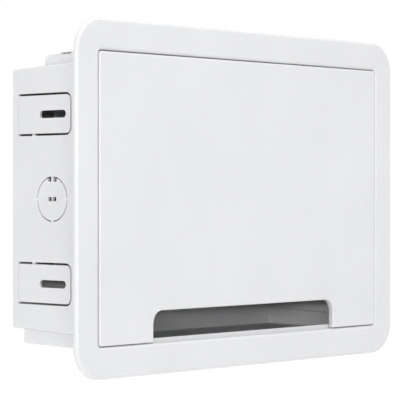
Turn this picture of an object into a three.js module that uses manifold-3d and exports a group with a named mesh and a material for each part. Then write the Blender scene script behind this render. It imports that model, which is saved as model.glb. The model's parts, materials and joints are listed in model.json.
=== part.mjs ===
// Recessed in-wall fibre termination box: trim frame with a flush lift-off cover, a deep moulded back box
// with flex-out stud tabs and knockouts, and the fibre module inside it.
//
// Millimetres. The origin is the centre of the trim flange's rear face, which lies on the wall surface.
// +X is to the right seen from the room, +Y goes into the wall, +Z is up.

import * as THREE from 'three';
import { mergeVertices } from 'three/addons/utils/BufferGeometryUtils.js';
import Module from 'manifold-3d';

const wasm = await Module();
wasm.setup();

// ---------------------------------------------------------------- driving dimensions

const GAP = 0.3; // clearance between pieces that meet
const OVERCUT = 1; // how far a cutter runs past the face it opens
const SINK = 1; // how far an added body reaches into the wall it stands on

const FLANGE = { halfW: 190, halfH: 133, corner: 25, thick: 4, edge: 2.5 };
const OPENING = { halfW: 167.2, halfH: 109.2, corner: 3, edge: 2.4 };
const TRAY_RIM = { halfW: 170, halfH: 113.5, corner: 5 }; // back of the frame's rebate
const LEDGE = { front: 1, back: 4, halfW: 152, halfH: 106, earX: 26, earZ: 28 };

const COVER = { gap: 0.5, back: 0.7, skin: 2.5, rim: 2.5, corner: 2.5, edge: 1.5 };
const NOTCH = { halfW: 109, top: -84.9, corner: 9.5, edge: 1.2, halfH: 20 };
const PRONG = { x: 162.4, z: 60, width: 14, thick: 1.7, end: 7, clearance: 0.8 };
const COVER_RIB = { x: 55, thick: 1.5, back: 0.2 };

const BOX = { front: LEDGE.back + GAP, back: 104.4, halfW: 158, halfH: 103.75, draft: 4, wall: 2.5 };
const BOX_EDGE = { radius: 1.5, steps: 3 }; // rounding of the box's outer edges
const HOLLOW_CORNER = 1.5;
const TOP_STEP = { halfW: 153.5, relief: 0, end: 68.1, height: 109.6, fall: 0.4, corner: 4.5, wall: 2.5 };
const BOTTOM_STEP = { halfW: 153.5, relief: 0, end: 91.5, height: 113.5, fall: 2.2, corner: 2, wall: 1.8 };
const BOTTOM_REAR = { ...BOTTOM_STEP, relief: 15, fall: 0.4, end: BOX.back }; // stops short on the left
const STEP_ROOT = 3; // how far a step's body reaches inside the box's narrow end
const PAD = { inner: 118, end: 52, height: 110.8 }; // cable-entry pads at the ends of the top step
const PAD_SLIT = { from: 39.5, to: 49.5, low: 109.2, high: 110.2, depth: 3.5 };
const PAD_RIB = { from: 33.5, to: 37, height: 113, thick: 3 };

const SIDE_Z = -0.5; // height of the middle of the side walls' features
const TAB = { hingeY: 97.1, freeY: 37.7, z: 64.5, halfH: 14.6, slit: 1.6, corner: 4.5 };
const TAB_SLOT = { from: 42.6, to: 72.6, width: 5.8 };
const TIE = { y: 79.4, width: 2.8, short: 1.25 };

const SIDE_KNOCKOUT = {
  y: 58, radius: 16.95, slit: 0.9, tie: 2.2, legWidth: 3.8, legBottom: 13.2, legTop: 16.35,
};
const PRY_SLOT = { front: 4.3, rear: 4.1, bar: 0.8, barY: 58.2, height: 3.2 };
const FLOOR_KNOCKOUT = { y: 60, radius: 14, slit: 1.2, tie: 2.4, xs: [-78, -26, 26, 78] };
const KNOCKOUT_PRY = { halfW: 3, halfD: 1 }; // the screwdriver slot in each of them
const ROOF_KNOCKOUT = { y: 38, radius: 11.1, slit: 1.2, tie: 2.2, xs: [-78, -26, 26, 78] };

const TRIM_BOSS = { x: 148.5, z: 95, halfW: 6.5, end: 30, hole: 2.1, holeEnd: 22 };
const TRIM_SCREW = { head: 3.5, cone: 1.9, shank: 1.75, length: 16 };

const BASE = { halfW: 118, bottom: -60, top: 84, front: 93.1, thick: 2.7, corner: 6 };
const BASE_SCREW = { x: 108, zs: [-50, 74], head: 3.8, cap: 2.4, shank: 1.75, length: 7, hole: 2.1 };
const BASE_BOSS = { radius: 5, holeDepth: 5.4 };
const SPOOL = { x: 46, z: 42, radius: 17, lip: 20, height: 5.4, lipThick: 1.4 };

const BRACKET = { halfW: 60, z: -52, thick: 2, front: 66, flange: 14, screwX: 54, screwZ: -43 };
const SMALL_SCREW = { head: 3, cap: 2, shank: 1.5, length: 4.4, hole: 1.8 };
const ADAPTER = { xs: [-39, -13, 13, 39], y: 78, w: 13, d: 10, up: 14, down: 16, flangeW: 21, flange: 1.8 };
const PORT = { w: 9.4, d: 6.4, web: 4, ferrule: 1.3 };
const CAP = { w: 12.4, d: 9.4, head: 6, plug: 8, play: 0.3, corner: 1.2, groove: 0.6 };

const TRAY = { halfW: 75, bottom: 4, top: 76, front: 77.2, back: 86, wall: 1.5, corner: 8 };
const TRAY_AXIS = { y: 83, z: 8.5 };
const TRAY_PIN = { radius: 1.6, head: 2.8, headThick: 1.4, inner: 71.5 };
const TRAY_LUG = { width: 5, height: 9, halfD: 3 };
const EAR = { inner: 75.6, outer: 78.6, bottom: 4, top: 13, reach: 3.6 };
const FIBRE_SLOT = { x: 62, width: 3.6 };
const LID = { halfW: 73.1, bottom: 7.9, top: 74, front: 75.3, thick: 1.4, axisZ: 8.6, stub: 1 };
const LID_PULL = { halfW: 12, out: 2, low: 71, high: 73 };
const LID_LUG = { front: 73.9, bottom: 4, top: 12 };
const COMB = { halfW: 24, bottom: 28, top: 60, height: 4.2, grooves: 8, groove: 2.6, depth: 3 };

const CLAMP = { x: 98, z: 30, halfW: 14, halfH: 6, thick: 8, foot: 3, shoulder: 2.4, screwX: 10.2 };
const CHANNEL = { radius: 4.4, depth: 5.8 };

const SCREW_RECESS = { reach: 0.55, halfSlot: 0.45, depth: 1.1 }; // reach is a share of the head's radius

const CURVE = 3; // curve divisions in a prism's arcs; three.js makes two straight steps of each
const EDGE_STEPS = 4; // straight steps in a rounded-over edge
const FLANGE_ARC = 8; // straight steps in a corner of the flange
const NOTCH_ARC = 5;

// ---------------------------------------------------------------- materials

function plastic(color, roughness) {
  return new THREE.MeshStandardMaterial({ color, roughness, metalness: 0 });
}

const LOOKS = {
  white: () => plastic(0xe9eaeb, 0.42),
  grey: () => plastic(0xc4c8cc, 0.5),
  green: () => plastic(0x2f8f4e, 0.45),
  cap: () => plastic(0xd9dcd6, 0.5),
  comb: () => plastic(0x3b3e42, 0.7),
  clear: () => new THREE.MeshStandardMaterial({
    color: 0xdfe9ee, roughness: 0.1, metalness: 0, transparent: true, opacity: 0.4,
  }),
  steel: () => new THREE.MeshStandardMaterial({ color: 0xb9bcc0, roughness: 0.3, metalness: 1 }),
};

// ---------------------------------------------------------------- solids

function toSolid(geometry) {
  const bare = geometry.clone();
  bare.deleteAttribute('normal');
  bare.deleteAttribute('uv');
  const merged = mergeVertices(bare, 1e-4);
  return new wasm.Manifold(new wasm.Mesh({
    numProp: 3,
    vertProperties: new Float32Array(merged.attributes.position.array),
    triVerts: new Uint32Array(merged.index.array),
  }));
}

function toGeometry(solid) {
  const mesh = solid.getMesh();
  const geometry = new THREE.BufferGeometry();
  geometry.setAttribute('position', new THREE.BufferAttribute(new Float32Array(mesh.vertProperties), 3));
  geometry.setIndex(new THREE.BufferAttribute(new Uint32Array(mesh.triVerts), 1));
  return geometry;
}

function union(...solids) {
  return solids.reduce((all, solid) => all.add(solid));
}

function cut(body, ...cutters) {
  return cutters.reduce((left, cutter) => left.subtract(cutter), body);
}

function moved(solid, x, y, z) {
  return toSolid(toGeometry(solid).translate(x, y, z));
}

/** A box between two values on each axis, given in either order. */
function block([x0, x1], [y0, y1], [z0, z1]) {
  const geometry = new THREE.BoxGeometry(Math.abs(x1 - x0), Math.abs(y1 - y0), Math.abs(z1 - z0));
  return toSolid(geometry.translate((x0 + x1) / 2, (y0 + y1) / 2, (z0 + z1) / 2));
}

/** A prism of a shape drawn in (y, z), between two values of x. */
function prismX(shape, x0, x1) {
  const depth = Math.abs(x1 - x0);
  const geometry = new THREE.ExtrudeGeometry(shape, { depth, bevelEnabled: false, curveSegments: CURVE });
  const basis = new THREE.Matrix4().makeBasis(
    new THREE.Vector3(0, 1, 0), new THREE.Vector3(0, 0, 1), new THREE.Vector3(1, 0, 0),
  );
  return toSolid(geometry.applyMatrix4(basis).translate(Math.min(x0, x1), 0, 0));
}

/** A prism of a shape drawn in (x, z), between two values of y. */
function prismY(shape, y0, y1) {
  const depth = y1 - y0;
  const geometry = new THREE.ExtrudeGeometry(shape, { depth, bevelEnabled: false, curveSegments: CURVE });
  return toSolid(geometry.rotateX(Math.PI / 2).translate(0, y1, 0));
}

/** A prism of a shape drawn in (x, y), between two values of z. */
function prismZ(shape, z0, z1) {
  const depth = z1 - z0;
  const geometry = new THREE.ExtrudeGeometry(shape, { depth, bevelEnabled: false, curveSegments: CURVE });
  return toSolid(geometry.translate(0, 0, z0));
}

function rodX(radius, x0, x1, y, z, steps = 12) {
  const geometry = new THREE.CylinderGeometry(radius, radius, Math.abs(x1 - x0), steps);
  return toSolid(geometry.rotateZ(Math.PI / 2).translate((x0 + x1) / 2, y, z));
}

function rodY(radius, y0, y1, x, z, steps = 12) {
  const geometry = new THREE.CylinderGeometry(radius, radius, y1 - y0, steps);
  return toSolid(geometry.translate(x, (y0 + y1) / 2, z));
}

function rodZ(radius, z0, z1, x, y, steps = 12) {
  const geometry = new THREE.CylinderGeometry(radius, radius, z1 - z0, steps);
  return toSolid(geometry.rotateX(Math.PI / 2).translate(x, y, (z0 + z1) / 2));
}

/** A rounded rectangle between two corners. */
function roundedRect(a0, a1, b0, b1, radius) {
  const shape = new THREE.Shape();
  shape.moveTo(a0 + radius, b0);
  shape.lineTo(a1 - radius, b0);
  shape.absarc(a1 - radius, b0 + radius, radius, -Math.PI / 2, 0, false);
  shape.lineTo(a1, b1 - radius);
  shape.absarc(a1 - radius, b1 - radius, radius, 0, Math.PI / 2, false);
  shape.lineTo(a0 + radius, b1);
  shape.absarc(a0 + radius, b1 - radius, radius, Math.PI / 2, Math.PI, false);
  shape.lineTo(a0, b0 + radius);
  shape.absarc(a0 + radius, b0 + radius, radius, Math.PI, Math.PI * 1.5, false);
  return shape;
}

function polygon(points) {
  return new THREE.Shape(points.map(([a, b]) => new THREE.Vector2(a, b)));
}

/**
 * A closed body through rounded-rectangle sections stacked along +Y. A section is
 * { y, halfW, halfH, corner }. The body is centred on cz in height, and each corner has arc steps.
 */
function loft(sections, { cz = 0, arc = 3 } = {}) {
  const positions = [];
  const ring = 4 * (arc + 1);
  for (const { y, halfW, halfH, corner } of sections) {
    for (let quarter = 0; quarter < 4; quarter += 1) {
      const signX = quarter === 0 || quarter === 3 ? 1 : -1;
      const signZ = quarter < 2 ? 1 : -1;
      for (let step = 0; step <= arc; step += 1) {
        const angle = (quarter + step / arc) * Math.PI / 2;
        const x = signX * (halfW - corner) + corner * Math.cos(angle);
        const z = signZ * (halfH - corner) + corner * Math.sin(angle);
        positions.push(x, y, cz + z);
      }
    }
  }
  const index = [];
  for (let row = 0; row < sections.length - 1; row += 1) {
    for (let i = 0; i < ring; i += 1) {
      const next = (i + 1) % ring;
      const a = row * ring + i;
      const b = row * ring + next;
      index.push(a, a + ring, b, b, a + ring, b + ring);
    }
  }
  const last = (sections.length - 1) * ring;
  for (let i = 1; i < ring - 1; i += 1) {
    index.push(0, i, i + 1);
    index.push(last, last + i + 1, last + i);
  }
  const geometry = new THREE.BufferGeometry();
  geometry.setAttribute('position', new THREE.Float32BufferAttribute(positions, 3));
  geometry.setIndex(index);
  return toSolid(geometry);
}

/** Sections whose front edge, at frontY, is rounded over; rear section at backY. */
function roundedFront(size, frontY, backY, edge) {
  const sections = [];
  const steps = EDGE_STEPS;
  for (let step = 0; step <= steps; step += 1) {
    const angle = (step / steps) * Math.PI / 2;
    const inset = edge * (1 - Math.sin(angle));
    sections.push({
      y: frontY + edge * (1 - Math.cos(angle)),
      halfW: size.halfW - inset,
      halfH: size.halfH - inset,
      corner: Math.max(size.corner - inset, 0.4),
    });
  }
  sections.push({ y: backY, halfW: size.halfW, halfH: size.halfH, corner: size.corner });
  return sections;
}

/** A cutter for an opening whose front rim, at frontY, is rounded over. */
function flaredCutter(size, frontY, backY, edge, shape = {}) {
  const sections = [];
  const steps = EDGE_STEPS;
  const mouth = { halfW: size.halfW + edge, halfH: size.halfH + edge, corner: size.corner + edge };
  sections.push({ y: frontY - OVERCUT, ...mouth });
  for (let step = 0; step <= steps; step += 1) {
    const angle = (step / steps) * Math.PI / 2;
    const outset = edge * (1 - Math.sin(angle));
    sections.push({
      y: frontY + edge * (1 - Math.cos(angle)),
      halfW: size.halfW + outset,
      halfH: size.halfH + outset,
      corner: size.corner + outset,
    });
  }
  sections.push({ y: backY, halfW: size.halfW, halfH: size.halfH, corner: size.corner });
  return loft(sections, shape);
}

// ---------------------------------------------------------------- screws

/** A round screw along +Y with its head's underside at y = 0 and a cross recess. */
function screwGeometry(profile, headTop, headRadius) {
  const points = profile.map(([radius, y]) => new THREE.Vector2(radius, y));
  const body = toSolid(new THREE.LatheGeometry(points, 12));
  const arm = headRadius * SCREW_RECESS.reach;
  const slot = SCREW_RECESS.halfSlot;
  const recess = [headTop - OVERCUT, headTop + SCREW_RECESS.depth];
  const cross = union(
    block([-arm, arm], recess, [-slot, slot]),
    block([-slot, slot], recess, [-arm, arm]),
  );
  return toGeometry(cut(body, cross));
}

function panScrew({ head, cap, shank, length }) {
  return screwGeometry([
    [0, -cap],
    [head * 0.62, -cap],
    [head, -cap * 0.4],
    [head, 0],
    [shank, 0],
    [shank, length - shank],
    [shank * 0.5, length],
    [0, length],
  ], -cap, head);
}

function countersunkScrew({ head, cone, shank, length }) {
  return screwGeometry([
    [0, 0],
    [head, 0],
    [head, 0.3],
    [shank, cone],
    [shank, length - shank],
    [shank * 0.5, length],
    [0, length],
  ], 0, head);
}

// ---------------------------------------------------------------- trim frame and cover

function makeTrimFrame() {
  const front = -FLANGE.thick;
  const flange = loft(roundedFront(FLANGE, front, 0, FLANGE.edge), { arc: FLANGE_ARC });
  const rebate = loft([
    { y: -OVERCUT, ...TRAY_RIM },
    { y: LEDGE.back, ...TRAY_RIM },
  ]);
  const opening = flaredCutter(OPENING, front, LEDGE.front, OPENING.edge);
  const { halfW, halfH, earX, earZ } = LEDGE;
  const window = polygon([
    [halfW, -halfH + earZ], [halfW, halfH - earZ], [halfW - earX, halfH], [-halfW + earX, halfH],
    [-halfW, halfH - earZ], [-halfW, -halfH + earZ], [-halfW + earX, -halfH], [halfW - earX, -halfH],
  ]);
  const cutters = [opening, prismY(window, LEDGE.front - OVERCUT, LEDGE.back + OVERCUT)];
  for (const sx of [-1, 1]) {
    for (const sz of [-1, 1]) {
      cutters.push(countersink(sx * TRIM_BOSS.x, sz * TRIM_BOSS.z));
      cutters.push(prongSlot(sx, sz));
    }
  }
  return cut(union(flange, rebate), ...cutters);
}

/** The hole in the ledge that takes one countersunk trim screw with clearance all round. */
function countersink(x, z) {
  const { head, cone, shank } = TRIM_SCREW;
  const seat = LEDGE.front + GAP;
  const points = [
    [0, LEDGE.front - OVERCUT], [head + GAP, LEDGE.front - OVERCUT], [head + GAP, seat + GAP],
    [shank + GAP, seat + cone + GAP], [shank + GAP, LEDGE.back + OVERCUT], [0, LEDGE.back + OVERCUT],
  ];
  const geometry = new THREE.LatheGeometry(points.map(([r, y]) => new THREE.Vector2(r, y)), 16);
  return toSolid(geometry.translate(x, 0, z));
}

function prongSlot(sx, sz) {
  const halfT = PRONG.thick / 2 + PRONG.clearance;
  const halfW = PRONG.width / 2 + PRONG.clearance;
  return block(
    [sx * PRONG.x - halfT, sx * PRONG.x + halfT],
    [LEDGE.front - OVERCUT, LEDGE.back + OVERCUT],
    [sz * PRONG.z - halfW, sz * PRONG.z + halfW],
  );
}

function makeCover() {
  const front = -FLANGE.thick;
  const size = {
    halfW: OPENING.halfW - COVER.gap,
    halfH: OPENING.halfH - COVER.gap,
    corner: COVER.corner,
  };
  const panel = loft(roundedFront(size, front, COVER.back, COVER.edge));
  const notchZ = NOTCH.top - NOTCH.halfH;
  const mouth = flaredCutter(NOTCH, front, COVER.back + OVERCUT, NOTCH.edge, { cz: notchZ, arc: NOTCH_ARC });

  const skinBack = front + COVER.skin;
  const hollow = block(
    [-size.halfW + COVER.rim, size.halfW - COVER.rim],
    [skinBack, COVER.back + OVERCUT],
    [-size.halfH + COVER.rim, size.halfH - COVER.rim],
  );
  const notchRim = loft([skinBack - OVERCUT, COVER.back + 2 * OVERCUT].map((y) => ({
    y,
    halfW: NOTCH.halfW + COVER.rim,
    halfH: NOTCH.halfH + COVER.rim,
    corner: NOTCH.corner + COVER.rim,
  })), { cz: notchZ, arc: NOTCH_ARC });
  const ribs = [];
  for (const sx of [-1, 1]) {
    ribs.push(block(
      [sx * COVER_RIB.x - COVER_RIB.thick / 2, sx * COVER_RIB.x + COVER_RIB.thick / 2],
      [skinBack - OVERCUT, COVER_RIB.back],
      [NOTCH.top + 1, size.halfH - 1],
    ));
    for (const sz of [-1, 1]) {
      ribs.push(block(
        [sx * PRONG.x - PRONG.thick / 2, sx * PRONG.x + PRONG.thick / 2],
        [skinBack - OVERCUT, PRONG.end],
        [sz * PRONG.z - PRONG.width / 2, sz * PRONG.z + PRONG.width / 2],
      ));
    }
  }
  ribs.push(block(
    [-size.halfW + 1, size.halfW - 1],
    [skinBack - OVERCUT, COVER_RIB.back],
    [-COVER_RIB.thick / 2, COVER_RIB.thick / 2],
  ));
  return union(cut(panel, mouth, cut(hollow, notchRim)), ...ribs);
}

// ---------------------------------------------------------------- back box

/** How far the drafted walls have come in at depth y. */
function draftAt(y) {
  return BOX.draft * y / BOX.back;
}

const DRAFT_ANGLE = Math.atan2(BOX.draft, BOX.back);

/** A section of the box at depth y, with its walls brought in by inset. */
function boxSection(y, inset, corner) {
  return {
    y,
    halfW: BOX.halfW - draftAt(y) - inset,
    halfH: BOX.halfH - draftAt(y) - inset,
    corner,
  };
}

function boxShell() {
  const { radius, steps } = BOX_EDGE;
  const outer = [boxSection(BOX.front, 0, radius)];
  for (let step = 0; step <= steps; step += 1) {
    const angle = (step / steps) * Math.PI / 2;
    const y = BOX.back - radius * (1 - Math.sin(angle));
    outer.push(boxSection(y, radius * (1 - Math.cos(angle)), radius));
  }
  return loft(outer);
}

function boxHollow() {
  return loft([
    boxSection(BOX.front - OVERCUT, BOX.wall, HOLLOW_CORNER),
    boxSection(BOX.back - BOX.wall, BOX.wall, HOLLOW_CORNER),
  ]);
}

/**
 * The side profile, in (y, z), of a step that stands out of the box's top or bottom. The step's floor
 * and ends come in by inset, its rear by rearInset.
 */
function stepProfile(step, sign, inset, rearInset) {
  const end = step.end - rearInset;
  const near = sign * (step.height - inset);
  const far = sign * (step.height - step.fall - inset);
  const root = sign * (BOX.halfH - BOX.draft - STEP_ROOT);
  const radius = Math.max(step.corner - inset, 1);
  const start = inset > 0 ? BOX.front - OVERCUT : BOX.front;
  const profile = new THREE.Shape();
  profile.moveTo(start, root);
  profile.lineTo(start, near);
  profile.lineTo(end - radius, far);
  profile.absarc(end - radius, far - sign * radius, radius, sign * Math.PI / 2, 0, sign > 0);
  profile.lineTo(end, root);
  return profile;
}

function stepBody(step, sign) {
  return prismX(stepProfile(step, sign, 0, 0), step.relief - step.halfW, step.halfW);
}

function stepHollow(step, sign) {
  const profile = stepProfile(step, sign, step.wall, BOX.wall);
  return prismX(profile, step.relief - step.halfW + BOX.wall, step.halfW - BOX.wall);
}

/** The raised cable-entry pad at one end of the top step, with a small rib on its outer edge. */
function padBody(side) {
  const outer = side * TOP_STEP.halfW;
  const root = TOP_STEP.height - TOP_STEP.fall - SINK;
  return union(
    block([side * PAD.inner, outer], [BOX.front, PAD.end], [root, PAD.height]),
    block([outer - side * PAD_RIB.thick, outer], [PAD_RIB.from, PAD_RIB.to], [root, PAD_RIB.height]),
  );
}

/** The slit that lets the pad's edge be cut free for a cable. */
function padSlit(side) {
  return block(
    [side * (TOP_STEP.halfW + OVERCUT), side * (TOP_STEP.halfW - PAD_SLIT.depth)],
    [PAD_SLIT.from, PAD_SLIT.to],
    [PAD_SLIT.low, PAD_SLIT.high],
  );
}

/** Four arc slits round a knockout, as shapes about the origin. */
function ringSlits({ radius, slit, tie }) {
  const outer = radius + slit / 2;
  const inner = radius - slit / 2;
  const skip = Math.asin(tie / 2 / radius);
  const slits = [];
  for (let quarter = 0; quarter < 4; quarter += 1) {
    const from = quarter * Math.PI / 2 + skip;
    const to = (quarter + 1) * Math.PI / 2 - skip;
    const shape = new THREE.Shape();
    shape.absarc(0, 0, outer, from, to, false);
    shape.absarc(0, 0, inner, to, from, true);
    slits.push(shape);
  }
  return slits;
}

/** The knockouts of a row in the step's floor or roof, as vertical cutters. */
function rowOfKnockouts(row, z0, z1) {
  const cutters = [];
  for (const x of row.xs) {
    for (const slit of ringSlits(row)) {
      cutters.push(moved(prismZ(slit, z0, z1), x, row.y, 0));
    }
    cutters.push(block(
      [x - KNOCKOUT_PRY.halfW, x + KNOCKOUT_PRY.halfW],
      [row.y - KNOCKOUT_PRY.halfD, row.y + KNOCKOUT_PRY.halfD],
      [z0, z1],
    ));
  }
  return union(...cutters);
}

/** Turns a solid drawn against the flat plane x = side * halfW onto the drafted side wall. */
function ontoSideWall(solid, side) {
  const geometry = toGeometry(solid);
  geometry.translate(-side * BOX.halfW, 0, 0).rotateZ(side * DRAFT_ANGLE);
  return toSolid(geometry.translate(side * BOX.halfW, 0, 0));
}

/** Outline, in (y, z), of a tab that is free at its front and hinged at its rear. */
function tabOutline(z, grow) {
  const front = TAB.freeY - grow;
  const low = z - TAB.halfH - grow;
  const high = z + TAB.halfH + grow;
  const radius = TAB.corner + grow;
  const rear = TAB.hingeY + (grow > 0 ? 0 : -GAP);
  const shape = new THREE.Shape();
  shape.moveTo(rear, low);
  shape.lineTo(rear, high);
  shape.lineTo(front + radius, high);
  shape.absarc(front + radius, high - radius, radius, Math.PI / 2, Math.PI, false);
  shape.lineTo(front, low + radius);
  shape.absarc(front + radius, low + radius, radius, Math.PI, Math.PI * 1.5, false);
  return shape;
}

/** The ring slits of the side wall's knockout, the legs of its upper tie and its pry slot. */
function sideKnockoutCutters(through) {
  const { y, tie, legWidth, legBottom, legTop } = SIDE_KNOCKOUT;
  const cutters = ringSlits(SIDE_KNOCKOUT).map((shape) => moved(prismX(shape, ...through), 0, y, 0));
  for (const sign of [-1, 1]) {
    const legs = [y + sign * tie / 2, y + sign * (tie / 2 + legWidth)];
    cutters.push(block(through, legs, [legBottom, legTop]));
  }
  const { front, rear, bar, barY, height } = PRY_SLOT;
  cutters.push(block(through, [barY - bar / 2 - front, barY - bar / 2], [-height / 2, height / 2]));
  cutters.push(block(through, [barY + bar / 2, barY + bar / 2 + rear], [-height / 2, height / 2]));
  return cutters.map((cutter) => moved(cutter, 0, 0, SIDE_Z));
}

/** Everything cut through one side wall, drawn against the flat plane of that side. */
function sideWallCutters(side) {
  const through = [side * (BOX.halfW - BOX.wall - OVERCUT), side * (BOX.halfW + OVERCUT)];
  const cutters = sideKnockoutCutters(through);
  for (const sz of [-1, 1]) {
    const z = SIDE_Z + sz * TAB.z;
    const window = prismX(tabOutline(z, TAB.slit), ...through);
    const innerSlit = z - sz * (TAB.halfH + TAB.slit);
    const tie = block(
      through,
      [TIE.y - TIE.width / 2, TIE.y + TIE.width / 2],
      [innerSlit - sz * OVERCUT, innerSlit + sz * TIE.short],
    );
    cutters.push(cut(window, tie));
  }
  return ontoSideWall(union(...cutters), side);
}

function makeBackBox() {
  const outer = union(
    boxShell(),
    stepBody(TOP_STEP, 1),
    stepBody(BOTTOM_STEP, -1),
    stepBody(BOTTOM_REAR, -1),
    padBody(-1),
    padBody(1),
  );
  const shell = cut(
    outer,
    boxHollow(),
    stepHollow(TOP_STEP, 1),
    stepHollow(BOTTOM_STEP, -1),
    stepHollow(BOTTOM_REAR, -1),
  );

  const bosses = [];
  const holes = [];
  for (const sx of [-1, 1]) {
    for (const sz of [-1, 1]) {
      const x = sx * TRIM_BOSS.x;
      const z = sz * TRIM_BOSS.z;
      bosses.push(block(
        [x - sx * TRIM_BOSS.halfW, sx * (BOX.halfW - draftAt(TRIM_BOSS.end) - SINK)],
        [BOX.front, TRIM_BOSS.end],
        [z - sz * TRIM_BOSS.halfW, z + sz * TRIM_BOSS.halfW],
      ));
      holes.push(rodY(TRIM_BOSS.hole, BOX.front - OVERCUT, TRIM_BOSS.holeEnd, x, z));
    }
    for (const z of BASE_SCREW.zs) {
      const x = sx * BASE_SCREW.x;
      const seat = BASE.front + BASE.thick + GAP;
      bosses.push(rodY(BASE_BOSS.radius, seat, BOX.back - SINK, x, z, 24));
      holes.push(rodY(BASE_SCREW.hole, seat - OVERCUT, seat + BASE_BOSS.holeDepth, x, z));
    }
  }
  const roof = rowOfKnockouts(ROOF_KNOCKOUT, TOP_STEP.height - 6, TOP_STEP.height + 2);
  const floor = rowOfKnockouts(FLOOR_KNOCKOUT, -BOTTOM_STEP.height - 2, -BOTTOM_STEP.height + 8);
  return cut(
    union(shell, ...bosses),
    ...holes,
    roof,
    floor,
    padSlit(-1),
    padSlit(1),
    sideWallCutters(-1),
    sideWallCutters(1),
  );
}

function makeStudTab(side, z) {
  const thickness = [side * (BOX.halfW - BOX.wall), side * BOX.halfW];
  const slotRadius = TAB_SLOT.width / 2;
  const slot = roundedRect(TAB_SLOT.from, TAB_SLOT.to, z - slotRadius, z + slotRadius, slotRadius - 0.01);
  const through = [side * (BOX.halfW - BOX.wall - OVERCUT), side * (BOX.halfW + OVERCUT)];
  const plate = cut(prismX(tabOutline(z, 0), ...thickness), prismX(slot, ...through));
  return toSolid(toGeometry(plate).translate(-side * BOX.halfW, 0, 0));
}

// ---------------------------------------------------------------- fibre module

const BASE_BACK = BASE.front + BASE.thick;

function makeModuleBase() {
  const plate = prismY(
    roundedRect(-BASE.halfW, BASE.halfW, BASE.bottom, BASE.top, BASE.corner),
    BASE.front,
    BASE_BACK,
  );
  const additions = [];
  const holes = [];
  for (const sx of [-1, 1]) {
    additions.push(spool(sx));
    additions.push(block(
      [sx * EAR.inner, sx * EAR.outer],
      [TRAY_AXIS.y - EAR.reach, BASE.front + 1],
      [EAR.bottom, EAR.top],
    ));
    holes.push(rodX(TRAY_PIN.radius + GAP, sx * (EAR.inner - OVERCUT), sx * (EAR.outer + OVERCUT),
      TRAY_AXIS.y, TRAY_AXIS.z));
    for (const z of BASE_SCREW.zs) {
      holes.push(rodY(BASE_SCREW.hole, BASE.front - OVERCUT, BASE_BACK + OVERCUT, sx * BASE_SCREW.x, z));
    }
    holes.push(smallHole(sx * BRACKET.screwX, BRACKET.screwZ));
    holes.push(smallHole(sx * CLAMP.x - CLAMP.screwX, CLAMP.z));
    holes.push(smallHole(sx * CLAMP.x + CLAMP.screwX, CLAMP.z));
  }
  return cut(union(plate, ...additions), ...holes);
}

function smallHole(x, z) {
  return rodY(SMALL_SCREW.hole, BASE.front - OVERCUT, BASE_BACK + OVERCUT, x, z);
}

/** A solid round spool with a retaining lip, standing on the base plate. */
function spool(sx) {
  const face = BASE.front - SPOOL.height;
  const points = [
    [0, face], [SPOOL.lip, face], [SPOOL.lip, face + SPOOL.lipThick], [SPOOL.radius, face + SPOOL.lipThick],
    [SPOOL.radius, BASE.front + 1], [0, BASE.front + 1],
  ];
  const geometry = new THREE.LatheGeometry(points.map(([r, y]) => new THREE.Vector2(r, y)), 24);
  return toSolid(geometry.translate(sx * SPOOL.x, 0, SPOOL.z));
}

function makeBracket() {
  const back = BASE.front - GAP;
  const shelf = block(
    [-BRACKET.halfW, BRACKET.halfW],
    [BRACKET.front, back],
    [BRACKET.z - BRACKET.thick, BRACKET.z],
  );
  const flange = block(
    [-BRACKET.halfW, BRACKET.halfW],
    [back - BRACKET.thick, back],
    [BRACKET.z - BRACKET.thick, BRACKET.z + BRACKET.flange],
  );
  const cutters = ADAPTER.xs.map((x) => block(
    [x - ADAPTER.w / 2 - GAP, x + ADAPTER.w / 2 + GAP],
    [ADAPTER.y - ADAPTER.d / 2 - GAP, ADAPTER.y + ADAPTER.d / 2 + GAP],
    [BRACKET.z - BRACKET.thick - OVERCUT, BRACKET.z + OVERCUT],
  ));
  for (const sx of [-1, 1]) {
    cutters.push(rodY(SMALL_SCREW.hole, back - BRACKET.thick - OVERCUT, back + OVERCUT,
      sx * BRACKET.screwX, BRACKET.screwZ));
  }
  return cut(union(shelf, flange), ...cutters);
}

/** One adapter about its own axis, z = 0 at the top of the bracket shelf. */
function makeAdapter() {
  const halfW = ADAPTER.w / 2;
  const halfD = ADAPTER.d / 2;
  const body = block([-halfW, halfW], [-halfD, halfD], [-ADAPTER.down, ADAPTER.up]);
  const flange = block(
    [-ADAPTER.flangeW / 2, ADAPTER.flangeW / 2],
    [-halfD - 0.8, halfD + 0.8],
    [GAP, GAP + ADAPTER.flange],
  );
  const middle = (ADAPTER.up - ADAPTER.down) / 2;
  const port = (z0, z1) => block([-PORT.w / 2, PORT.w / 2], [-PORT.d / 2, PORT.d / 2], [z0, z1]);
  return cut(
    union(body, flange),
    port(middle + PORT.web / 2, ADAPTER.up + OVERCUT),
    port(-ADAPTER.down - OVERCUT, middle - PORT.web / 2),
    rodZ(PORT.ferrule, -ADAPTER.down, ADAPTER.up, 0, 0, 12),
  );
}

/** A dust cap about the adapter's axis: grip below the port, plug inside it. */
function makeDustCap() {
  const top = -ADAPTER.down - GAP;
  const grip = prismZ(
    roundedRect(-CAP.w / 2, CAP.w / 2, -CAP.d / 2, CAP.d / 2, CAP.corner),
    top - CAP.head,
    top,
  );
  const halfW = PORT.w / 2 - CAP.play;
  const halfD = PORT.d / 2 - CAP.play;
  const plug = block([-halfW, halfW], [-halfD, halfD], [top - 1, top + CAP.plug]);
  const grooves = [-1, 1].map((side) => block(
    [-CAP.w, CAP.w],
    [side * (CAP.d / 2 - CAP.groove), side * CAP.d],
    [top - CAP.head * 0.6, top - CAP.head * 0.4],
  ));
  return cut(union(grip, plug), ...grooves);
}

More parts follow.
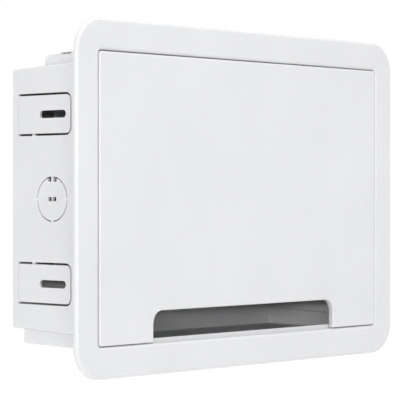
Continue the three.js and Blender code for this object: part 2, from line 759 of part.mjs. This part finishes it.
function makeTray() {
  const outline = roundedRect(-TRAY.halfW, TRAY.halfW, TRAY.bottom, TRAY.top, TRAY.corner);
  const inset = TRAY.wall;
  const inner = roundedRect(
    -TRAY.halfW + inset, TRAY.halfW - inset, TRAY.bottom + inset, TRAY.top - inset, TRAY.corner - inset,
  );
  const pan = cut(
    prismY(outline, TRAY.front, TRAY.back),
    prismY(inner, TRAY.front - OVERCUT, TRAY.back - TRAY.wall),
  );
  const additions = [];
  const holes = [];
  for (const sx of [-1, 1]) {
    // The lower corners are filled out square, so that they take the hinge pins and the lid's lugs.
    additions.push(block(
      [sx * (TRAY.halfW - TRAY_LUG.width), sx * TRAY.halfW],
      [TRAY_AXIS.y - TRAY_LUG.halfD, TRAY.back],
      [TRAY.bottom, TRAY.bottom + TRAY_LUG.height],
    ));
    additions.push(block(
      [sx * (TRAY.halfW - TRAY.wall), sx * TRAY.halfW],
      [LID_LUG.front, TRAY.back],
      [LID_LUG.bottom, LID_LUG.top],
    ));
    const lugEnds = [sx * (TRAY.halfW - TRAY_LUG.width - OVERCUT), sx * (TRAY.halfW + OVERCUT)];
    holes.push(rodX(TRAY_PIN.radius + GAP, ...lugEnds, TRAY_AXIS.y, TRAY_AXIS.z));
    holes.push(rodX(LID.stub + GAP, sx * (TRAY.halfW - TRAY.wall - OVERCUT), sx * (TRAY.halfW + OVERCUT),
      LID.front + LID.thick / 2, LID.axisZ, 12));
    holes.push(block(
      [sx * FIBRE_SLOT.x - FIBRE_SLOT.width / 2, sx * FIBRE_SLOT.x + FIBRE_SLOT.width / 2],
      [TRAY.front - OVERCUT, TRAY.back - TRAY.wall],
      [TRAY.bottom - OVERCUT, TRAY.bottom + TRAY.wall + OVERCUT],
    ));
  }
  return cut(union(pan, ...additions), ...holes);
}

function makeTrayPin(sx) {
  const headStart = EAR.outer + GAP;
  const headEnd = headStart + TRAY_PIN.headThick;
  const shaft = rodX(TRAY_PIN.radius, sx * TRAY_PIN.inner, sx * headEnd, TRAY_AXIS.y, TRAY_AXIS.z);
  const head = rodX(TRAY_PIN.head, sx * headStart, sx * headEnd, TRAY_AXIS.y, TRAY_AXIS.z);
  return union(shaft, head);
}

function makeLid() {
  const plate = prismY(
    roundedRect(-LID.halfW, LID.halfW, LID.bottom, LID.top, 1.2),
    LID.front,
    LID.front + LID.thick,
  );
  const knuckles = [-1, 1].map((sx) => rodX(
    LID.stub,
    sx * (LID.halfW - 4),
    sx * (TRAY.halfW - 0.4),
    LID.front + LID.thick / 2,
    LID.axisZ,
    12,
  ));
  const pull = block(
    [-LID_PULL.halfW, LID_PULL.halfW],
    [LID.front - LID_PULL.out, LID.front + GAP],
    [LID_PULL.low, LID_PULL.high],
  );
  return union(plate, ...knuckles, pull);
}

function makeComb() {
  const back = TRAY.back - TRAY.wall - GAP;
  const front = back - COMB.height;
  const body = block([-COMB.halfW, COMB.halfW], [front, back], [COMB.bottom, COMB.top]);
  const pitch = (COMB.top - COMB.bottom) / COMB.grooves;
  const grooves = [];
  for (let i = 0; i < COMB.grooves; i += 1) {
    const z = COMB.bottom + pitch * (i + 0.5);
    grooves.push(block(
      [-COMB.halfW - OVERCUT, COMB.halfW + OVERCUT],
      [front - OVERCUT, front + COMB.depth],
      [z - COMB.groove / 2, z + COMB.groove / 2],
    ));
  }
  return cut(body, ...grooves);
}

/** A saddle clamp about its own centre line, its back on the base plate's front face. */
function makeClamp() {
  const back = BASE.front - GAP;
  const front = back - CLAMP.thick;
  const body = prismZ(
    roundedRect(-CLAMP.halfW, CLAMP.halfW, front, back, 1.5),
    -CLAMP.halfH,
    CLAMP.halfH,
  );
  const steps = [-1, 1].map((sx) => block(
    [sx * (CHANNEL.radius + CLAMP.shoulder), sx * (CLAMP.halfW + OVERCUT)],
    [front - OVERCUT, back - CLAMP.foot],
    [-CLAMP.halfH - OVERCUT, CLAMP.halfH + OVERCUT],
  ));
  const roofY = back - CHANNEL.depth + CHANNEL.radius;
  const channel = union(
    rodZ(CHANNEL.radius, -CLAMP.halfH - OVERCUT, CLAMP.halfH + OVERCUT, 0, roofY, 24),
    block([-CHANNEL.radius, CHANNEL.radius], [roofY, back + OVERCUT],
      [-CLAMP.halfH - OVERCUT, CLAMP.halfH + OVERCUT]),
  );
  const footEnds = [back - CLAMP.foot - OVERCUT, back + OVERCUT];
  const holes = [-1, 1].map((sx) => rodY(SMALL_SCREW.hole, ...footEnds, sx * CLAMP.screwX, 0));
  return cut(body, ...steps, channel, ...holes);
}

// ---------------------------------------------------------------- assembly

const box = new THREE.Group();

function place(parent, name, look, geometry, x = 0, y = 0, z = 0) {
  const mesh = new THREE.Mesh(geometry, LOOKS[look]());
  mesh.name = name;
  mesh.position.set(x, y, z);
  parent.add(mesh);
  return mesh;
}

place(box, 'trim_frame', 'white', toGeometry(makeTrimFrame()));
place(box, 'cover_panel', 'white', toGeometry(makeCover()));
place(box, 'back_box', 'white', toGeometry(makeBackBox()));

for (const [sideName, side] of [['left', -1], ['right', 1]]) {
  const wall = new THREE.Group();
  wall.position.x = side * BOX.halfW;
  wall.rotation.z = side * DRAFT_ANGLE;
  box.add(wall);
  for (const [level, sz] of [['upper', 1], ['lower', -1]]) {
    const tab = toGeometry(makeStudTab(side, SIDE_Z + sz * TAB.z));
    place(wall, `stud_tab_${sideName}_${level}`, 'white', tab);
  }
}

const trimScrew = countersunkScrew(TRIM_SCREW);
const corners = [[-1, 1], [1, 1], [-1, -1], [1, -1]];
corners.forEach(([sx, sz], i) => {
  place(box, `trim_screw_${i + 1}`, 'steel', trimScrew.clone(),
    sx * TRIM_BOSS.x, LEDGE.front + GAP, sz * TRIM_BOSS.z);
});

const fibreModule = new THREE.Group();
box.add(fibreModule);
place(fibreModule, 'module_base', 'grey', toGeometry(makeModuleBase()));
place(fibreModule, 'adapter_bracket', 'grey', toGeometry(makeBracket()));

const baseScrew = panScrew(BASE_SCREW);
corners.forEach(([sx, sz], i) => {
  const z = sz > 0 ? BASE_SCREW.zs[1] : BASE_SCREW.zs[0];
  place(fibreModule, `module_screw_${i + 1}`, 'steel', baseScrew.clone(),
    sx * BASE_SCREW.x, BASE.front - GAP, z);
});

const smallScrew = panScrew(SMALL_SCREW);
const adapter = toGeometry(makeAdapter());
const dustCap = toGeometry(makeDustCap());
ADAPTER.xs.forEach((x, i) => {
  place(fibreModule, `fiber_adapter_${i + 1}`, 'green', adapter.clone(), x, ADAPTER.y, BRACKET.z);
  place(fibreModule, `dust_cap_${i + 1}`, 'cap', dustCap.clone(), x, ADAPTER.y, BRACKET.z);
});

const clamp = toGeometry(makeClamp());
for (const [sideName, sx] of [['left', -1], ['right', 1]]) {
  place(fibreModule, `bracket_screw_${sideName}`, 'steel', smallScrew.clone(),
    sx * BRACKET.screwX, BASE.front - 2 * GAP - BRACKET.thick, BRACKET.screwZ);
  place(fibreModule, `cable_clamp_${sideName}`, 'grey', clamp.clone(), sx * CLAMP.x, 0, CLAMP.z);
  for (const [end, dx] of [['outer', sx * CLAMP.screwX], ['inner', -sx * CLAMP.screwX]]) {
    place(fibreModule, `clamp_screw_${sideName}_${end}`, 'steel', smallScrew.clone(),
      sx * CLAMP.x + dx, BASE.front - 2 * GAP - CLAMP.foot, CLAMP.z);
  }
  place(fibreModule, `tray_pin_${sideName}`, 'steel', toGeometry(makeTrayPin(sx)));
}

place(fibreModule, 'splice_tray', 'grey', toGeometry(makeTray()));
place(fibreModule, 'splice_comb', 'comb', toGeometry(makeComb()));
place(fibreModule, 'tray_lid', 'clear', toGeometry(makeLid()));

export default box;
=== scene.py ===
"""Looks for the recessed fibre termination box: finer meshes, moulded-plastic and metal finishes, a white
studio and the camera. Everything is in metres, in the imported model's frame."""

import json
import math

import bmesh
import bpy
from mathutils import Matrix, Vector


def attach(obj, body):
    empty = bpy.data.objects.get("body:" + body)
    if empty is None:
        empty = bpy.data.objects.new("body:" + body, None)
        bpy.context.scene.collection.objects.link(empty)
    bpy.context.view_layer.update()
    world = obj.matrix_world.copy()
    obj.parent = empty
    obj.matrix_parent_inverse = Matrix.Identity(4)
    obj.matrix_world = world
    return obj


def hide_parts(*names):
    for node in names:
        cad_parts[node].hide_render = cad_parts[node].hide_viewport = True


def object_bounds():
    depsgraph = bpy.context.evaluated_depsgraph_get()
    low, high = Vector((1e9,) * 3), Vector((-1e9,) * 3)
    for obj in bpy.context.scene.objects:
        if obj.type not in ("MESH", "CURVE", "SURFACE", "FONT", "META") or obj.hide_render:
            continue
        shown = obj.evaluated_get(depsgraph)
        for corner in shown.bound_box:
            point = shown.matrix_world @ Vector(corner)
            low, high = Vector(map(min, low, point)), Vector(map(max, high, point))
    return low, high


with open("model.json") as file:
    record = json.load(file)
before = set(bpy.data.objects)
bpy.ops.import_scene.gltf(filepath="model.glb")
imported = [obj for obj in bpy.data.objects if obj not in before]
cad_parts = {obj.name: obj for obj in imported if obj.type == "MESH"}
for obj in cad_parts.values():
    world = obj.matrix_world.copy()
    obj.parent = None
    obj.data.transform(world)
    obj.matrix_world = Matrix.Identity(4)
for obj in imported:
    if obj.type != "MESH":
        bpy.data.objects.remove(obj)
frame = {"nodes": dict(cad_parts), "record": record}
CAD_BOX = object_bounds()
NODES = frame["nodes"]
RECORD = frame["record"]
MM = 0.001

# ---------------------------------------------------------------- numbers that drive the looks

CAMERA_AZIMUTH = math.radians(-47.9)  # the camera stands to the left of the front
CAMERA_DISTANCE = 1.521  # from the aim point on the flange's front face
CAMERA_AIM_X = -0.0572
CAMERA_HEIGHT = 0.0052
CAMERA_LENS = 176.94
CAMERA_SHIFT_Y = -0.021
CAMERA_NEAR = 0.01
CAMERA_FAR = 100

FLOOR_DROP = 1.4  # from the bottom of the flange
FLOOR_HALF = 6.0
LIGHTS = [  # name, location, target, width, height, power
    ("strip", (-3.15, -2.45, 0.27), (0, 0, -0.09), 2.6, 0.15, 75),
    ("key", (-3.0, -2.0, 0.95), (0, 0, 0), 1.6, 0.8, 18),
    ("top", (0, -0.7, 2.2), (0, 0, 0), 3, 2, 46),
]

FINE_EDGE = 0.12 * MM
SMALL_EDGE = 0.25 * MM
FINE_EDGED = ("back_box", "splice_comb", "tray_lid", "tray_pin")
EDGE_STEPS = 2
SHARP_ANGLE = math.radians(35)  # edges above this are rounded
SHADING_ANGLE = math.radians(40)  # and after that, edges above this stay sharp
WELD_DISTANCE = 0.002 * MM
TAB_ROOT_Y = 96.9 * MM  # a stud tab's root lies beyond this
TAB_ROOT_GAP = 0.29 * MM  # its clearance to the wall that it springs from, closed in the looks

GLOW_SHARE = 0.5  # how much of the white plastic's light creeps through it
GLOW_DEPTH = 1.5 * MM
GRAIN_HEIGHT = 0.012 * MM

BODY_OF = {node: body for body, nodes in RECORD["behaviour"]["bodies"].items() for node in nodes}
SLOT_OF = {row["node"]: row["material_slot"] for row in RECORD["subparts"]}


# ---------------------------------------------------------------- materials

class Nodes:
    """A short way to write a procedural material's node tree."""

    def __init__(self, name):
        self.material = bpy.data.materials.new(name)
        self.material.use_nodes = True
        self.tree = self.material.node_tree
        self.shader = self.tree.nodes["Principled BSDF"]
        self.place = self.add("ShaderNodeTexCoord").outputs["Object"]

    def add(self, kind, **settings):
        node = self.tree.nodes.new(kind)
        for key, value in settings.items():
            setattr(node, key, value)
        return node

    def join(self, output, socket):
        self.tree.links.new(output, socket)

    def noise(self, scale, detail=2.0, roughness=0.5, stretch=None):
        """Noise of so many cells per metre, which stretch may scale on each axis."""
        node = self.add("ShaderNodeTexNoise")
        node.inputs["Scale"].default_value = scale
        node.inputs["Detail"].default_value = detail
        node.inputs["Roughness"].default_value = roughness
        source = self.place
        if stretch:
            mapping = self.add("ShaderNodeMapping")
            mapping.inputs["Scale"].default_value = stretch
            self.join(source, mapping.inputs["Vector"])
            source = mapping.outputs["Vector"]
        self.join(source, node.inputs["Vector"])
        return node.outputs["Fac"]

    def spread(self, value, low, high):
        """A value from 0.3 to 0.7, where noise mostly lies, turned into low to high."""
        node = self.add("ShaderNodeMapRange")
        node.inputs["From Min"].default_value = 0.3
        node.inputs["From Max"].default_value = 0.7
        node.inputs["To Min"].default_value = low
        node.inputs["To Max"].default_value = high
        self.join(value, node.inputs["Value"])
        return node.outputs["Result"]

    def ramp(self, value, stops):
        node = self.add("ShaderNodeValToRGB")
        elements = node.color_ramp.elements
        while len(elements) < len(stops):
            elements.new(0.5)
        for element, (position, colour) in zip(elements, stops):
            element.position = position
            element.color = (*colour, 1)
        self.join(value, node.inputs["Fac"])
        return node.outputs["Color"]

    def bump(self, height, distance, strength=1.0, under=None):
        node = self.add("ShaderNodeBump")
        node.inputs["Strength"].default_value = strength
        node.inputs["Distance"].default_value = distance
        self.join(height, node.inputs["Height"])
        if under is not None:
            self.join(under, node.inputs["Normal"])
        return node.outputs["Normal"]


def moulded_plastic(name, dark, light, rough, glow=0.0):
    """Injection-moulded plastic: slow colour and gloss drift, a fine grain and faint flow waviness."""
    made = Nodes(name)
    drift = made.noise(14, detail=3)
    made.join(made.ramp(drift, [(0.32, dark), (0.68, light)]), made.shader.inputs["Base Color"])
    gloss = made.noise(120, detail=4, roughness=0.6)
    made.join(made.spread(gloss, rough[0], rough[1]), made.shader.inputs["Roughness"])
    waves = made.bump(made.noise(22, detail=1), 0.05 * MM, strength=0.35)
    fine = made.bump(made.noise(1800, detail=3, roughness=0.7), GRAIN_HEIGHT, strength=0.5, under=waves)
    made.join(fine, made.shader.inputs["Normal"])
    made.shader.inputs["Subsurface Weight"].default_value = glow
    made.shader.inputs["Subsurface Radius"].default_value = (1, 0.97, 0.94)
    made.shader.inputs["Subsurface Scale"].default_value = GLOW_DEPTH
    return made.material


def plated_steel(name):
    """Zinc-plated screw steel: turned rings, cloudy plating and small pits."""
    made = Nodes(name)
    cloud = made.noise(700, detail=4, roughness=0.65)
    tint = made.ramp(cloud, [(0.3, (0.44, 0.45, 0.46)), (0.7, (0.66, 0.67, 0.69))])
    made.join(tint, made.shader.inputs["Base Color"])
    made.join(made.spread(made.noise(1600, detail=3), 0.22, 0.42), made.shader.inputs["Roughness"])
    lines = made.noise(2600, detail=2, stretch=(1, 6, 1))
    made.join(made.bump(lines, 0.01 * MM, strength=0.4), made.shader.inputs["Normal"])
    made.shader.inputs["Metallic"].default_value = 1.0
    return made.material


def clear_sheet(name):
    """Clear polycarbonate with a light haze and fine rubbing marks."""
    made = Nodes(name)
    haze = made.noise(60, detail=3)
    tint = made.ramp(haze, [(0.3, (0.86, 0.91, 0.93)), (0.7, (0.93, 0.96, 0.97))])
    made.join(tint, made.shader.inputs["Base Color"])
    marks = made.noise(900, detail=5, roughness=0.7, stretch=(0.15, 1, 1))
    made.join(made.spread(marks, 0.03, 0.16), made.shader.inputs["Roughness"])
    made.join(made.bump(made.noise(30), 0.04 * MM, strength=0.3), made.shader.inputs["Normal"])
    made.shader.inputs["Transmission Weight"].default_value = 0.92
    made.shader.inputs["IOR"].default_value = 1.58
    return made.material


def foam_rubber(name):
    """Matt dark foam rubber with open pores."""
    made = Nodes(name)
    pores = made.noise(1500, detail=4, roughness=0.7)
    made.join(made.ramp(pores, [(0.35, (0.02, 0.021, 0.023)), (0.65, (0.07, 0.072, 0.077))]),
              made.shader.inputs["Base Color"])
    made.join(made.spread(made.noise(300), 0.75, 0.95), made.shader.inputs["Roughness"])
    made.join(made.bump(pores, 0.12 * MM, strength=0.8), made.shader.inputs["Normal"])
    return made.material


MATERIALS = {
    "white_plastic": moulded_plastic(
        "white_plastic", (0.488, 0.491, 0.5), (0.506, 0.509, 0.518), (0.4, 0.5), glow=GLOW_SHARE),
    "grey_plastic": moulded_plastic("grey_plastic", (0.5, 0.52, 0.54), (0.58, 0.6, 0.62), (0.42, 0.56)),
    "adapter_green": moulded_plastic("adapter_green", (0.03, 0.26, 0.09), (0.05, 0.34, 0.13), (0.28, 0.4)),
    "cap_plastic": moulded_plastic("cap_plastic", (0.66, 0.67, 0.62), (0.74, 0.75, 0.7), (0.4, 0.55)),
    "comb_rubber": foam_rubber("comb_rubber"),
    "clear_plastic": clear_sheet("clear_plastic"),
    "screw_steel": plated_steel("screw_steel"),
}


# ---------------------------------------------------------------- finer meshes

def finer_mesh(node, radius):
    """A copy of a CAD node's mesh with its sharp edges rounded to a small radius."""
    mesh = NODES[node].data.copy()
    mesh.name = node + "_fine"
    shape = bmesh.new()
    shape.from_mesh(mesh)
    bmesh.ops.remove_doubles(shape, verts=shape.verts, dist=WELD_DISTANCE)
    bmesh.ops.recalc_face_normals(shape, faces=shape.faces)
    sharp = [e for e in shape.edges if e.is_manifold and e.calc_face_angle() > SHARP_ANGLE]
    if node.startswith("stud_tab"):
        root = [v for v in shape.verts if v.co.y > TAB_ROOT_Y]
        sharp = [e for e in sharp if e.verts[0] not in root or e.verts[1] not in root]
        bmesh.ops.translate(shape, verts=root, vec=(0, TAB_ROOT_GAP, 0))
    bmesh.ops.bevel(shape, geom=sharp, offset=radius, offset_type="OFFSET", segments=EDGE_STEPS,
                    profile=0.5, affect="EDGES", clamp_overlap=False, loop_slide=False)
    for face in shape.faces:
        face.smooth = True
    shape.to_mesh(mesh)
    shape.free()
    mesh.set_sharp_from_angle(angle=SHADING_ANGLE)
    return mesh


def finish_node(node, radius):
    """Puts a finer piece in a CAD node's place, with the finish of the node's slot."""
    slot = SLOT_OF[node]
    piece = bpy.data.objects.new(node + "_shell", finer_mesh(node, radius))
    bpy.context.scene.collection.objects.link(piece)
    piece.data.materials.clear()
    piece.data.materials.append(MATERIALS[slot])
    shading = piece.modifiers.new("flat_faces", "WEIGHTED_NORMAL")
    shading.keep_sharp = True
    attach(piece, BODY_OF[node])
    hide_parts(node)


def edge_size(node):
    return FINE_EDGE if "screw" in node or node.startswith(FINE_EDGED) else SMALL_EDGE


for name in sorted(NODES):
    finish_node(name, edge_size(name))


# ---------------------------------------------------------------- studio

def make_camera():
    data = bpy.data.cameras.new("camera")
    data.lens = CAMERA_LENS
    data.shift_y = CAMERA_SHIFT_Y
    data.clip_start = CAMERA_NEAR
    data.clip_end = CAMERA_FAR
    camera = bpy.data.objects.new("camera", data)
    aim = Vector((CAMERA_AIM_X, CAD_BOX[0].y, CAMERA_HEIGHT))
    back = Vector((math.sin(CAMERA_AZIMUTH), -math.cos(CAMERA_AZIMUTH), 0))
    camera.location = aim + back * CAMERA_DISTANCE
    camera.rotation_euler = (math.radians(90), 0, CAMERA_AZIMUTH)
    bpy.context.scene.collection.objects.link(camera)
    bpy.context.scene.camera = camera


def area_light(name, location, target, width, height, power):
    data = bpy.data.lights.new(name, "AREA")
    data.shape = "RECTANGLE"
    data.size = width
    data.size_y = height
    data.energy = power
    light = bpy.data.objects.new(name, data)
    light.location = location
    light.rotation_euler = (Vector(target) - Vector(location)).to_track_quat("-Z", "Y").to_euler()
    bpy.context.scene.collection.objects.link(light)


def make_floor():
    """A pale floor well below the box, which hangs in a wall."""
    depth = CAD_BOX[0].z - FLOOR_DROP
    half = FLOOR_HALF
    mesh = bpy.data.meshes.new("floor")
    corners = [(-half, -half, depth), (half, -half, depth), (half, half, depth), (-half, half, depth)]
    mesh.from_pydata(corners, [], [(0, 1, 2, 3)])
    floor = bpy.data.objects.new("floor", mesh)
    made = Nodes("floor_paint")
    made.join(made.ramp(made.noise(3), [(0.3, (0.97, 0.97, 0.97)), (0.7, (0.985, 0.985, 0.985))]),
              made.shader.inputs["Base Color"])
    made.shader.inputs["Roughness"].default_value = 0.9
    mesh.materials.append(made.material)
    bpy.context.scene.collection.objects.link(floor)


def make_world():
    world = bpy.data.worlds.new("studio")
    world.use_nodes = True
    background = world.node_tree.nodes["Background"]
    background.inputs["Color"].default_value = (1.0, 1.0, 1.0, 1)
    background.inputs["Strength"].default_value = 1.0
    bpy.context.scene.world = world


make_camera()
make_floor()
make_world()
for light_row in LIGHTS:
    area_light(*light_row)
bpy.context.scene.view_settings.view_transform = "Standard"
